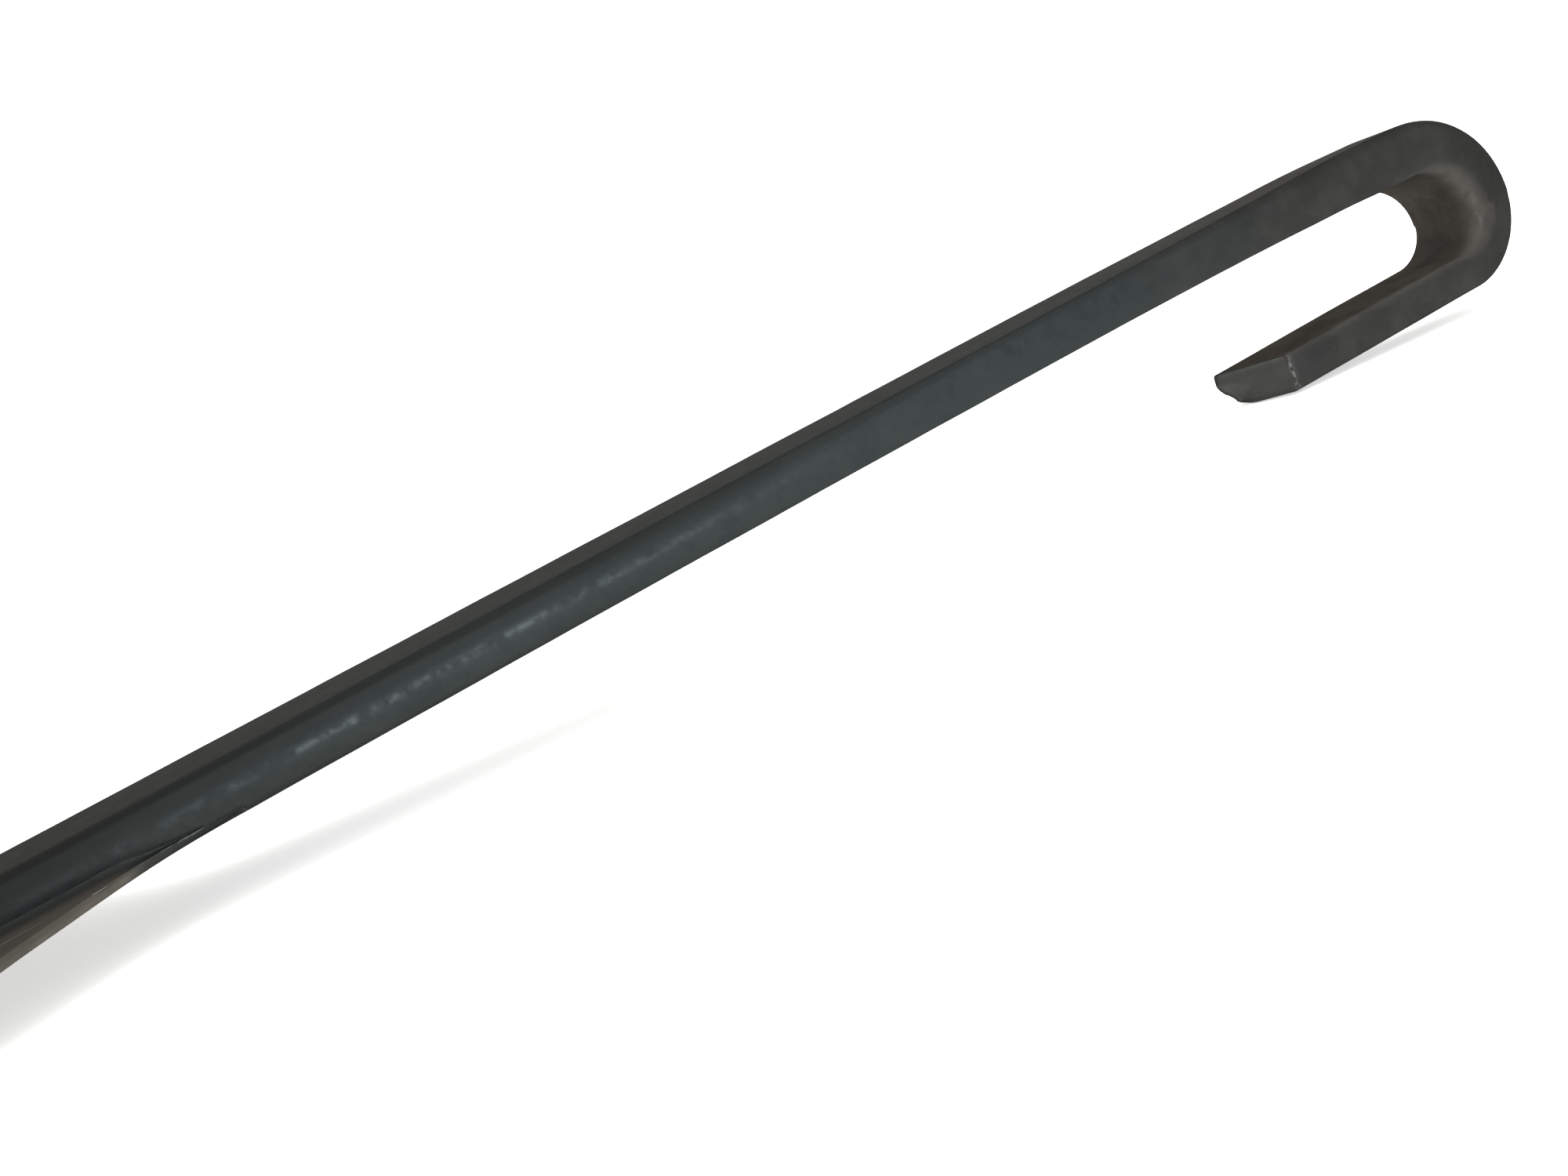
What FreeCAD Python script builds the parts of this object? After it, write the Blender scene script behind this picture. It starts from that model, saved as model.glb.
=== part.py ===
import FreeCAD, Part
import math
import os

import Sketcher

# Beekeeper's hive tool, in millimetres. The frame has +X towards the hook, +Z up out of the bar's top
# face and Y across the bar. The origin is the middle of the object's length and width, at its lowest
# point, which is the underside of the hook's leg.

DRIVING_SIZES = {
    "overall_length": 254.0,
    "bend_upper_radius": 14.5,
    "bend_lower_radius": 9.8,
    "bend_depth": 7.8,
    "bar_thick": 6.9,
    "leg_thick": 5.1,
    "leg_reach": 45.3,
    "leg_slant": 4.6,
    "hook_width": 10.4,
    "hook_edge_round": 0.45,
    "hook_crown": 0.3,
    "neck_thick": 5.6,
    "neck_flat": 15.0,
    "neck_crown": 0.3,
    "shank_thick": 5.3,
    "shank_flat": 16.8,
    "shank_crown": 0.4,
    "grip_thick": 5.3,
    "grip_flat": 18.6,
    "grip_crown": 1.8,
    "root_thick": 5.4,
    "root_flat": 19.2,
    "root_crown": 2.3,
    "neck_run": 36.0,
    "shank_run": 75.0,
    "grip_run": 127.0,
    "blade_width": 50.0,
    "blade_thick": 1.0,
    "blade_length": 84.5,
    "flare_radius": 24.0,
    "shoulder_radius": 8.0,
    "corner_radius": 0.5,
    "bevel_length": 8.0,
    "edge_thick": 0.3,
    "spine_length": 53.0,
    "spine_slope": 18.0,
    "weld_width": 0.9,
    "weld_height": 0.5,
}

# Sizes worked out from the driving ones. Each is a formula in the sheet.
DERIVED_SIZES = {
    "hook_end": "=overall_length / 2",
    "blade_end": "=-overall_length / 2",
    "hook_height": "=bend_upper_radius + bend_lower_radius",
    "bend_inner_radius": "=bend_upper_radius - bar_thick",
    "leg_inner_radius": "=bend_lower_radius - leg_thick",
    "hook_start": "=hook_end - bend_depth - bend_inner_radius",
    "leg_tip": "=hook_end - leg_reach",
    "neck_station": "=hook_start - neck_run",
    "shank_station": "=hook_start - shank_run",
    "grip_station": "=hook_start - grip_run",
    "root_station": "=blade_end + blade_length",
    "spine_end": "=root_station - spine_length",
    "hook_flat": "=hook_width - 2 * hook_crown",
    "underside": "=hook_height - root_thick",
    "blade_top": "=underside + blade_thick",
    "root_width": "=root_flat + 2 * root_crown",
    "side_radius": "=(root_thick^2 / 4 + root_crown^2) / (2 * root_crown)",
    "weld_top": "=blade_top + weld_height",
    "weld_rise": "=weld_top - hook_height + root_thick / 2",
    "weld_touch": "=root_width / 2 - side_radius + sqrt(side_radius^2 - weld_rise^2)",
    "weld_start": "=root_station - sqrt(flare_radius^2 - (flare_radius - weld_width)^2)",
}

CLEARANCE = 1.0
TINY = 1e-6

# A sketch's own two axes, and the named points of a line or an arc. The origin is the start of the X axis.
X_AXIS, Y_AXIS = -1, -2
START, END, CENTRE = 1, 2, 3

doc = FreeCAD.newDocument("hive_tool")
sheet = doc.addObject("Spreadsheet::Sheet", "sizes")


def fill_sheet():
    """Driving sizes first, then the ones worked out from them, each with its alias."""
    rows = [(name, str(value)) for name, value in DRIVING_SIZES.items()]
    rows += list(DERIVED_SIZES.items())
    for row, (name, text) in enumerate(rows, start=1):
        sheet.set(f"A{row}", name)
        sheet.set(f"B{row}", text)
        sheet.setAlias(f"B{row}", name)
        doc.recompute()


def cell(name):
    """A cell as an expression names it."""
    return f"<<sizes>>.{name}"


def value_of(expression):
    """The present value of an expression, as a plain number."""
    return float(sheet.evalExpression(expression))


def size(name):
    return value_of(cell(name))


def point(x, y):
    return FreeCAD.Vector(x, y, 0)


def circle_arc(centre, radius, start_degrees, end_degrees):
    """A counter-clockwise arc between two directions."""
    circle = Part.Circle(centre, FreeCAD.Vector(0, 0, 1), radius)
    return Part.ArcOfCircle(circle, math.radians(start_degrees), math.radians(end_degrees))


def new_body(label):
    body = doc.addObject("PartDesign::Body", label)
    body.Label = label
    return body


def new_sketch(body, name, role, offset=None):
    """A sketch on one of the body's origin planes, moved along its normal by an expression."""
    sketch = body.newObject("Sketcher::SketchObject", name)
    plane = next(feature for feature in body.Origin.OriginFeatures if feature.Role == role)
    sketch.AttachmentSupport = (plane, "")
    sketch.MapMode = "FlatFace"
    if offset:
        sketch.setExpression("AttachmentOffset.Base.z", offset)
    return sketch


def drive(sketch, name, kind, arguments, expression):
    """Adds a named dimension and binds it to the sheet."""
    index = sketch.addConstraint(Sketcher.Constraint(kind, *arguments, value_of(expression)))
    sketch.renameConstraint(index, name)
    sketch.setExpression(f"Constraints.{name}", expression)


def constrain(sketch, kind, *arguments):
    sketch.addConstraint(Sketcher.Constraint(kind, *arguments))


def polygon(body, name, role, corners, offset=None):
    """A sketch of straight lines. Each corner is a pair of expressions, along the sketch's two axes."""
    sketch = new_sketch(body, name, role, offset)
    places = [point(value_of(x), value_of(y)) for x, y in corners]
    count = len(corners)
    for i in range(count):
        sketch.addGeometry(Part.LineSegment(places[i], places[(i + 1) % count]), False)
    for i in range(count):
        constrain(sketch, "Coincident", i, END, (i + 1) % count, START)
    for i, (x, y) in enumerate(corners):
        drive(sketch, f"along{i}", "DistanceX", (X_AXIS, START, i, START), x)
        drive(sketch, f"up{i}", "DistanceY", (X_AXIS, START, i, START), y)
    return sketch


def pad(body, name, sketch, length, midplane=False, reverse=False):
    feature = body.newObject("PartDesign::Pad", name)
    feature.Profile = sketch
    feature.setExpression("Length", length)
    feature.Reversed = reverse
    if midplane:
        feature.SideType = "Symmetric"
    doc.recompute()


def pocket(body, name, sketch, length, midplane=False, reverse=False):
    """Cuts the sketch out of the body, and makes sure that something was cut."""
    before = body.Shape.Volume
    feature = body.newObject("PartDesign::Pocket", name)
    feature.Profile = sketch
    feature.setExpression("Length", length)
    feature.Reversed = reverse
    if midplane:
        feature.SideType = "Symmetric"
    doc.recompute()
    if body.Shape.Volume > before - TINY:
        raise RuntimeError(f"{name} cuts nothing")


def fillet(body, name, edges, radius):
    base = body.Tip
    feature = body.newObject("PartDesign::Fillet", name)
    feature.Base = (base, edges)
    feature.setExpression("Radius", radius)
    doc.recompute()


def crowned_section(body, name, station, flat, thick, crown):
    """Section across the bar: flat top and bottom, and two sides that bulge out by the crown.

    The top face stays level with the hook's highest line all along the bar.
    """
    sketch = new_sketch(body, f"{name}_section", "YZ_Plane", cell(station))
    half = size(flat) / 2
    top = size("hook_height")
    low = top - size(thick)
    middle = (top + low) / 2
    bulge = half + size(crown)
    sketch.addGeometry(Part.LineSegment(point(-half, top), point(half, top)), False)
    sketch.addGeometry(Part.LineSegment(point(-half, low), point(half, low)), False)
    sketch.addGeometry(Part.Arc(point(half, low), point(bulge, middle), point(half, top)), False)
    sketch.addGeometry(Part.Arc(point(-half, top), point(-bulge, middle), point(-half, low)), False)
    top_line, low_line, right_side, left_side = range(4)
    constrain(sketch, "Coincident", right_side, START, low_line, END)
    constrain(sketch, "Coincident", right_side, END, top_line, END)
    constrain(sketch, "Coincident", left_side, START, top_line, START)
    constrain(sketch, "Coincident", left_side, END, low_line, START)
    constrain(sketch, "Symmetric", top_line, START, top_line, END, Y_AXIS)
    constrain(sketch, "Symmetric", low_line, START, low_line, END, Y_AXIS)
    constrain(sketch, "Equal", top_line, low_line)
    radius = f"({cell(thick)}^2 / 4 + {cell(crown)}^2) / (2 * {cell(crown)})"
    drive(sketch, "flat", "DistanceX", (top_line, START, top_line, END), cell(flat))
    drive(sketch, "top", "DistanceY", (X_AXIS, START, top_line, START), cell("hook_height"))
    drive(sketch, "thick", "DistanceY", (low_line, END, top_line, END), cell(thick))
    drive(sketch, "right_radius", "Radius", (right_side,), radius)
    drive(sketch, "left_radius", "Radius", (left_side,), radius)
    return sketch


def hook_outline(body):
    """Side view of the hook: the bar's end, the two-radius bend and the leg that comes back under it."""
    sketch = new_sketch(body, "hook_outline", "XZ_Plane")
    top = size("hook_height")
    start = size("hook_start")
    end = size("hook_end")
    tip = size("leg_tip")
    leg = size("leg_thick")
    upper = size("bend_upper_radius")
    lower = size("bend_lower_radius")
    inner_upper = size("bend_inner_radius")
    inner_lower = size("leg_inner_radius")
    throat = end - size("bend_depth")
    pieces = [
        Part.LineSegment(point(start, top), point(end - upper, top)),
        circle_arc(point(end - upper, lower), upper, 0, 90),
        circle_arc(point(end - lower, lower), lower, -90, 0),
        Part.LineSegment(point(end - lower, 0), point(tip, 0)),
        Part.LineSegment(point(tip, 0), point(tip, leg)),
        Part.LineSegment(point(tip, leg), point(throat - inner_lower, leg)),
        circle_arc(point(throat - inner_lower, lower), inner_lower, -90, 0),
        circle_arc(point(throat - inner_upper, lower), inner_upper, 0, 90),
        Part.LineSegment(point(start, top - size("bar_thick")), point(start, top)),
    ]
    for piece in pieces:
        sketch.addGeometry(piece, False)
    top_line, out_up, out_low, leg_low, tip_line, leg_up, in_low, in_up, start_line = range(9)
    constrain(sketch, "Tangent", top_line, END, out_up, END)
    constrain(sketch, "Tangent", out_up, START, out_low, END)
    constrain(sketch, "Tangent", out_low, START, leg_low, START)
    constrain(sketch, "Tangent", leg_up, END, in_low, START)
    constrain(sketch, "Tangent", in_low, END, in_up, START)
    constrain(sketch, "Coincident", leg_low, END, tip_line, START)
    constrain(sketch, "Coincident", tip_line, END, leg_up, START)
    constrain(sketch, "Coincident", in_up, END, start_line, START)
    constrain(sketch, "Coincident", start_line, END, top_line, START)
    for line in (top_line, leg_low, leg_up):
        constrain(sketch, "Horizontal", line)
    for line in (tip_line, start_line):
        constrain(sketch, "Vertical", line)
    constrain(sketch, "Horizontal", out_up, CENTRE, out_up, START)
    constrain(sketch, "Horizontal", in_up, CENTRE, in_up, START)
    constrain(sketch, "Horizontal", out_up, CENTRE, in_up, CENTRE)
    constrain(sketch, "Vertical", in_up, CENTRE, in_up, END)
    drive(sketch, "outer_upper", "Radius", (out_up,), cell("bend_upper_radius"))
    drive(sketch, "outer_lower", "Radius", (out_low,), cell("bend_lower_radius"))
    drive(sketch, "inner_upper", "Radius", (in_up,), cell("bend_inner_radius"))
    drive(sketch, "inner_lower", "Radius", (in_low,), cell("leg_inner_radius"))
    drive(sketch, "end", "DistanceX", (X_AXIS, START, out_up, START), cell("hook_end"))
    drive(sketch, "height", "DistanceY", (X_AXIS, START, top_line, START), cell("hook_height"))
    drive(sketch, "depth", "DistanceX", (in_up, START, out_up, START), cell("bend_depth"))
    drive(sketch, "tip", "DistanceX", (X_AXIS, START, leg_low, END), cell("leg_tip"))
    return sketch


def side_edges(shape, half_width, beyond):
    """Names of the edges that lie in the two side faces and reach past a given X."""
    return [
        f"Edge{number}"
        for number, edge in enumerate(shape.Edges, start=1)
        if edge.BoundBox.YLength < TINY
        and abs(abs(edge.BoundBox.YMin) - half_width) < TINY
        and edge.BoundBox.XMax > beyond + TINY
    ]


def build_hook(body):
    """The J hook, with its leg's end cut a little askew, so that the leg is longer on its +Y side."""
    pad(body, "hook", hook_outline(body), cell("hook_width"), midplane=True)
    wide = cell("hook_width")
    tip = cell("leg_tip")
    corners = [
        (f"{tip} - {CLEARANCE}", f"-{wide}"),
        (f"{tip} + 1.5 * {cell('leg_slant')}", f"-{wide}"),
        (tip, f"{wide} / 2"),
        (f"{tip} - {CLEARANCE}", f"{wide} / 2"),
    ]
    slant = polygon(body, "slant_cut", "XY_Plane", corners, f"-{CLEARANCE}")
    pocket(body, "leg_slant", slant, f"{cell('leg_thick')} + 2 * {CLEARANCE}", reverse=True)
    edges = side_edges(body.Shape, size("hook_width") / 2, size("hook_start"))
    fillet(body, "hook_edges", edges, cell("hook_edge_round"))


def build_hook_bar():
    """The bar: J hook, shank that widens and rounds towards the blade, and the spine on the blade."""
    body = new_body("hook_bar")
    build_hook(body)
    shank = body.newObject("PartDesign::AdditiveLoft", "shank")
    sections = [crowned_section(body, "hook", "hook_start", "hook_flat", "bar_thick", "hook_crown")]
    sections += [
        crowned_section(body, name, f"{name}_station", f"{name}_flat", f"{name}_thick", f"{name}_crown")
        for name in ("neck", "shank", "grip", "root")
    ]
    shank.Profile = sections[0]
    shank.Sections = sections[1:]
    doc.recompute()

    # The spine goes on over the blade, which lies in a rebate under it, and slopes down to its toe.
    spine = crowned_section(body, "spine", "root_station", "root_flat", "root_thick", "root_crown")
    pad(body, "spine", spine, cell("spine_length"), reverse=True)
    behind = f"{cell('spine_end')} - {CLEARANCE}"
    below = f"{cell('underside')} - {CLEARANCE}"
    seat = [
        (behind, below),
        (cell("root_station"), below),
        (cell("root_station"), cell("blade_top")),
        (behind, cell("blade_top")),
    ]
    pocket(body, "rebate", polygon(body, "blade_seat", "XZ_Plane", seat), cell("blade_width"), midplane=True)
    slope = [
        (f"{cell('spine_end')} + {cell('spine_slope')}", cell("hook_height")),
        (cell("spine_end"), cell("weld_top")),
        (behind, f"{cell('hook_height')} + {CLEARANCE}"),
    ]
    pocket(body, "toe_slope", polygon(body, "toe_cut", "XZ_Plane", slope), cell("blade_width"), midplane=True)
    return body


def blade_outline(body):
    """Plan view of the blade: a neck as wide as the bar, flaring in two arcs to the full width."""
    sketch = new_sketch(body, "blade_outline", "XY_Plane", cell("underside"))
    neck = size("root_width") / 2
    half = size("blade_width") / 2
    root = size("root_station")
    end = size("blade_end")
    flare = size("flare_radius")
    shoulder = size("shoulder_radius")
    turn = math.degrees(math.acos(1 - (half - neck) / (flare + shoulder)))
    full = root - (flare + shoulder) * math.sin(math.radians(turn))
    pieces = [
        circle_arc(point(root, neck + flare), flare, 270 - turn, 270),
        circle_arc(point(full, half - shoulder), shoulder, 90 - turn, 90),
        Part.LineSegment(point(full, half), point(end, half)),
        Part.LineSegment(point(end, half), point(end, -half)),
        Part.LineSegment(point(end, -half), point(full, -half)),
        circle_arc(point(full, shoulder - half), shoulder, 270, 270 + turn),
        circle_arc(point(root, -neck - flare), flare, 90, 90 + turn),
        Part.LineSegment(point(root, -neck), point(root, neck)),
    ]
    for piece in pieces:
        sketch.addGeometry(piece, False)
    left_flare, left_shoulder, left_edge, front, right_edge, right_shoulder, right_flare, neck_line = range(8)
    constrain(sketch, "Tangent", left_flare, START, left_shoulder, START)
    constrain(sketch, "Tangent", left_shoulder, END, left_edge, START)
    constrain(sketch, "Coincident", left_edge, END, front, START)
    constrain(sketch, "Coincident", front, END, right_edge, START)
    constrain(sketch, "Tangent", right_edge, END, right_shoulder, START)
    constrain(sketch, "Tangent", right_shoulder, END, right_flare, END)
    constrain(sketch, "Coincident", right_flare, START, neck_line, START)
    constrain(sketch, "Coincident", neck_line, END, left_flare, END)
    for edge in (left_edge, right_edge):
        constrain(sketch, "Horizontal", edge)
    constrain(sketch, "Vertical", left_flare, CENTRE, left_flare, END)
    constrain(sketch, "Vertical", right_flare, CENTRE, right_flare, START)
    constrain(sketch, "Symmetric", front, START, front, END, X_AXIS)
    constrain(sketch, "Symmetric", neck_line, START, neck_line, END, X_AXIS)
    for name, arc in (("left_flare", left_flare), ("right_flare", right_flare)):
        drive(sketch, name, "Radius", (arc,), cell("flare_radius"))
    for name, arc in (("left_shoulder", left_shoulder), ("right_shoulder", right_shoulder)):
        drive(sketch, name, "Radius", (arc,), cell("shoulder_radius"))
    drive(sketch, "width", "DistanceY", (front, END, front, START), cell("blade_width"))
    drive(sketch, "neck", "DistanceY", (neck_line, START, neck_line, END), cell("root_width"))
    drive(sketch, "front", "DistanceX", (X_AXIS, START, front, START), cell("blade_end"))
    drive(sketch, "root", "DistanceX", (X_AXIS, START, neck_line, START), cell("root_station"))
    return sketch


def build_blade():
    """The scraper blade: a plate flush with the bar's underside, ground to a chisel edge on top."""
    body = new_body("blade")
    pad(body, "plate", blade_outline(body), cell("blade_thick"))
    grind = [
        (f"{cell('blade_end')} - {CLEARANCE}", f"{cell('blade_top')} + {CLEARANCE}"),
        (f"{cell('blade_end')} - {CLEARANCE}", f"{cell('underside')} + {cell('edge_thick')}"),
        (cell("blade_end"), f"{cell('underside')} + {cell('edge_thick')}"),
        (f"{cell('blade_end')} + {cell('bevel_length')}", cell("blade_top")),
        (f"{cell('blade_end')} + {cell('bevel_length')}", f"{cell('blade_top')} + {CLEARANCE}"),
    ]
    bevel = polygon(body, "bevel_cut", "XZ_Plane", grind)
    pocket(body, "bevel", bevel, f"{cell('blade_width')} + 2 * {CLEARANCE}", midplane=True)
    corners = [
        f"Edge{number}"
        for number, edge in enumerate(body.Shape.Edges, start=1)
        if edge.BoundBox.XMax < size("blade_end") + TINY and edge.BoundBox.YLength < TINY
    ]
    fillet(body, "blade_corners", corners, cell("corner_radius"))
    return body


def build_side_weld(label, side, bar):
    """A fillet weld in the corner between the blade and one round side of the spine.

    It starts where the flaring blade has room for it, and ends at the toe. The bead has three corners,
    and the space of the bar is taken out of it.
    """
    raw = new_body(f"{label}_bead")
    foot = f"{side} * ({cell('root_width')} / 2 + {cell('weld_width')})"
    corners = [
        (f"{side} * {cell('root_flat')} / 2", cell("blade_top")),
        (foot, cell("blade_top")),
        (f"{side} * {cell('weld_touch')}", cell("weld_top")),
    ]
    bead = polygon(raw, f"{label}_section", "YZ_Plane", corners, cell("spine_end"))
    pad(raw, f"{label}_run", bead, f"{cell('weld_start')} - {cell('spine_end')}")
    weld = doc.addObject("Part::Cut", label)
    weld.Label = label
    weld.Base = raw
    weld.Tool = bar
    doc.recompute()
    return weld


def build_toe_weld(label):
    """A fillet weld across the blade in front of the spine's toe."""
    body = new_body(label)
    corners = [
        (cell("spine_end"), cell("blade_top")),
        (cell("spine_end"), cell("weld_top")),
        (f"{cell('spine_end')} - {cell('weld_width')}", cell("blade_top")),
    ]
    bead = polygon(body, f"{label}_section", "XZ_Plane", corners)
    pad(body, f"{label}_run", bead, cell("root_width"), midplane=True)
    return body


def check_document():
    for item in doc.Objects:
        faults = {"Invalid", "Error"} & set(item.State)
        if faults:
            raise RuntimeError(f"{item.Label} is {sorted(faults)}")


def write_parts(parts):
    os.makedirs("parts", exist_ok=True)
    for part in parts:
        shape = part.Shape
        if shape.isNull() or not shape.isValid() or not shape.Solids:
            raise RuntimeError(f"{part.Label} has no valid solid")
        shape.exportStep(f"parts/{part.Label}.step")
        box = shape.BoundBox
        print(
            f"{part.Label}: {len(shape.Solids)} solid, {shape.Volume:.0f} mm3, "
            f"X {box.XMin:.2f} to {box.XMax:.2f}, Y {box.YMin:.2f} to {box.YMax:.2f}, "
            f"Z {box.ZMin:.2f} to {box.ZMax:.2f}"
        )


fill_sheet()
hook_bar = build_hook_bar()
blade = build_blade()
weld_left = build_side_weld("weld_left", 1, hook_bar)
weld_right = build_side_weld("weld_right", -1, hook_bar)
weld_toe = build_toe_weld("weld_toe")
doc.recompute()
check_document()
write_parts([hook_bar, blade, weld_left, weld_right, weld_toe])
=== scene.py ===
import math

import bmesh
import bpy
from mathutils import Matrix, Vector, noise


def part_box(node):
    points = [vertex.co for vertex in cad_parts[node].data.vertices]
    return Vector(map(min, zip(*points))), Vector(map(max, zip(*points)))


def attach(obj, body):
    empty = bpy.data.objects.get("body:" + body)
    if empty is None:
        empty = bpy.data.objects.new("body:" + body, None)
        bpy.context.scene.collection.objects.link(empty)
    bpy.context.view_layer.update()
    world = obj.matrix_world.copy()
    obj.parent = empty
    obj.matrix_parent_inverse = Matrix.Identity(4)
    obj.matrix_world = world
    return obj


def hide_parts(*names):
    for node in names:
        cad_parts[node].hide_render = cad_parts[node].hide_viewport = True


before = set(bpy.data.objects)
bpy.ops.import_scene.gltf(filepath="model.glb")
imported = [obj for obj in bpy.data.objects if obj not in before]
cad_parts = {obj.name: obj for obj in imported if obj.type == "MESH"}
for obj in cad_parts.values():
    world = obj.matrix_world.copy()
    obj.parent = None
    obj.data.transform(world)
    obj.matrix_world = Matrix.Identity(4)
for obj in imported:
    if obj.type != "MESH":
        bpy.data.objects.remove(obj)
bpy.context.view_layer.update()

# A blackened steel hive tool. Lengths are in millimetres until a mesh is made, when MM turns them into
# metres. Lights, camera and materials are in metres.
MM = 0.001


def node_box(node):
    """A CAD node's lowest and highest corners, in millimetres."""
    low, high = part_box(node)
    return low / MM, high / MM


bar_low, bar_high = node_box("hook_bar")
blade_low, blade_high = node_box("blade")

# Side view of the hook
TOP = bar_high.z
HOOK_END = bar_high.x
UPPER_RADIUS = 14.5
LOWER_RADIUS = TOP - UPPER_RADIUS
BAR_THICK = 6.9
LEG_THICK = 5.1
BEND_DEPTH = 7.8
THROAT = HOOK_END - BEND_DEPTH
INNER_UPPER_RADIUS = UPPER_RADIUS - BAR_THICK
INNER_LOWER_RADIUS = LOWER_RADIUS - LEG_THICK
HOOK_START = THROAT - INNER_UPPER_RADIUS
LEG_REACH = 45.3
LEG_TIP = HOOK_END - LEG_REACH
LEG_SLANT = 4.6
LEG_LEAN = 0.034
CORNER_WEAR = 2.2
HOOK_WIDTH = 10.4
HOOK_CROWN = 0.2
LEG_TAPER = 0.8
BEND_SPREAD = 0.9
BEND_DROOP = 0.5
BEND_START = HOOK_END - UPPER_RADIUS
SHEAR_RUN = 18
DROOP_RUN = (HOOK_START - 12, HOOK_START + 6)

# Where along the leg, as shares of it, its rings stand square, and its slant and its corner's wear begin
LEG_SQUARE = 0.6
SLANT_FROM = 0.3
WEAR_FROM = 0.85

# The worn far corner starts this far out from the leg's middle line and below its top. Across the leg, it
# would be full at the outset past the leg's side
WEAR_INSET = 1.5
WEAR_OUTSET = 1

# The cut end: its ragged lip, and the rings of the face inside it, as shares of the way to the middle
LIP_HEIGHT = 0.10
LIP_RAGGED = 0.14
LIP_PITCH = 1.7
LIP_LEAN = 0.02
CAP_RINGS = (0.12, 0.3, 0.5, 0.7, 0.86, 0.97)
CAP_DEPTH = 0.05

# Blade, and the spine that runs out on it
ROOT = blade_high.x
BLADE_END = blade_low.x
UNDERSIDE = blade_low.z
BLADE_TOP = blade_high.z
BLADE_HALF = blade_high.y
FLARE_RADIUS = 24.0
SHOULDER_RADIUS = 8.0
CORNER_RADIUS = 0.5
NECK_BLEND = 16.0
BEVEL_LENGTH = 8.0
EDGE_THICK = 0.3
SPINE_END = bar_low.x
SPINE_SLOPE = 18.0
TOE_HEIGHT = 0.5
SEAT_OVERLAP = 0.2

# Bulge and rounding of the blade's rim, as shares of its thickness
ROOT_BULGE = 0.05
RIM_BULGE = 0.42
RIM_ROUND = 0.1

# Weld beads. A side bead grows to its full reach and height as the blade gets wider than the bar
BEAD_ANGLE = math.radians(15)
BEAD_REACH = 3.4
BEAD_GROWTH = 1.8
BEAD_FIRST_REACH = 0.1
BEAD_INSET = 0.05
BEAD_BACK = 0.8
BEAD_TUCK = 0.3
BEAD_DEPTH = 0.1
RIM_GAP = 0.04
ROOF_GAP = 0.1
TUCK_ROOF_GAP = 0.05
CONTACT = 0.02
TOE_BEAD_SIZE = 0.75
TOE_BEAD_SQUASH = 0.8
TOE_BEAD_SHIFT = 0.1
TOE_BEAD_DEPTH = 0.15
TOE_BEAD_OVERRUN = 0.2
TOE_TAPER_POWER = 8
TOE_TAPER_LEAST = 0.05
TOE_RIPPLE = 0.12
TOE_RIPPLE_RATE = 4.2
TOE_UNEVEN = 0.1
TOE_NOISE_HEIGHT = 5

# Sections along the bar: position, thickness, width of the flat top, and how far the round sides bulge
BAR_CROWN = 0.3
NECK_RUN = 36
SHANK_RUN = 75
GRIP_RUN = 127
SECTIONS = (
    (HOOK_START, BAR_THICK, HOOK_WIDTH - 2 * BAR_CROWN, BAR_CROWN),
    (HOOK_START - NECK_RUN, 5.6, 15.0, BAR_CROWN),
    (HOOK_START - SHANK_RUN, 5.3, 16.8, 0.4),
    (HOOK_START - GRIP_RUN, 5.3, 18.6, 1.8),
    (ROOT, 5.4, 19.2, 2.3),
)
NECK_HALF = SECTIONS[-1][2] / 2 + SECTIONS[-1][3]

# Rounding and wear of the edges. The top edge's rounding changes over the two runs
EDGE_ROUND = 0.3
ROOT_EDGE_ROUND = 1.3
HOOK_EDGE_ROUND = 1.1
LEG_EDGE_ROUND = 0.4
INNER_EDGE_ROUND = 2.4
CHAMFERING = 0.75
ROOT_ROUND_RUN = (-10, 70)
HOOK_ROUND_RUN = (30, HOOK_START)

# Unevenness of the surfaces: size of the patches, and how deep they sink
BAR_HOLLOWS = (7.0, 0.05)
BAR_DENTS = (2.2, 0.015)
BLADE_HOLLOWS = (9.0, 0.05)

# Where each tint begins and is full, in mm or as a share of the half outline
WARM_START = NECK_HALF - 0.3
WARM_FULL = NECK_HALF + 1.6
BLADE_WARM_RUN = (4, 20)
INSIDE_RUN = (0.62, 0.8)
BURR_RUN = (0.3 * HOOK_WIDTH, 0.4 * HOOK_WIDTH)

# How finely the meshes are divided
RING_STEP = 0.8
STEP_GAP = 0.1
CORNER_STEP = 0.15
BEAD_STEP = 0.5
TOE_BEAD_STEP = 0.3
BEAD_POINTS = 24
TOE_BEAD_TURN = 20
BEND_RINGS = 40
FACE_POINTS = 7
CORNER_POINTS = 5
SIDE_POINTS = 14

# The brown tint inside the bend begins this many rings before the bend, and is full this many rings into it
BROWN_RINGS_BEFORE = 6
BROWN_RINGS_INTO = BEND_RINGS / 3


def mix(a, b, share):
    """The value that lies the given share of the way from a to b."""
    return a + (b - a) * share


def ease(value, start, end):
    """0 before start, 1 after end, and smooth between them."""
    share = min(max((value - start) / (end - start), 0.0), 1.0)
    return share * share * (3 - 2 * share)


def spaced(start, end, step):
    """Evenly spaced values from start to end, both included."""
    count = max(2, round(abs(end - start) / step))
    return [mix(start, end, i / count) for i in range(count + 1)]


def slope(a, b, column):
    """How fast one column changes from section a to section b, or None where they are the same section."""
    return None if a is b else (b[column] - a[column]) / (b[0] - a[0])


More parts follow.
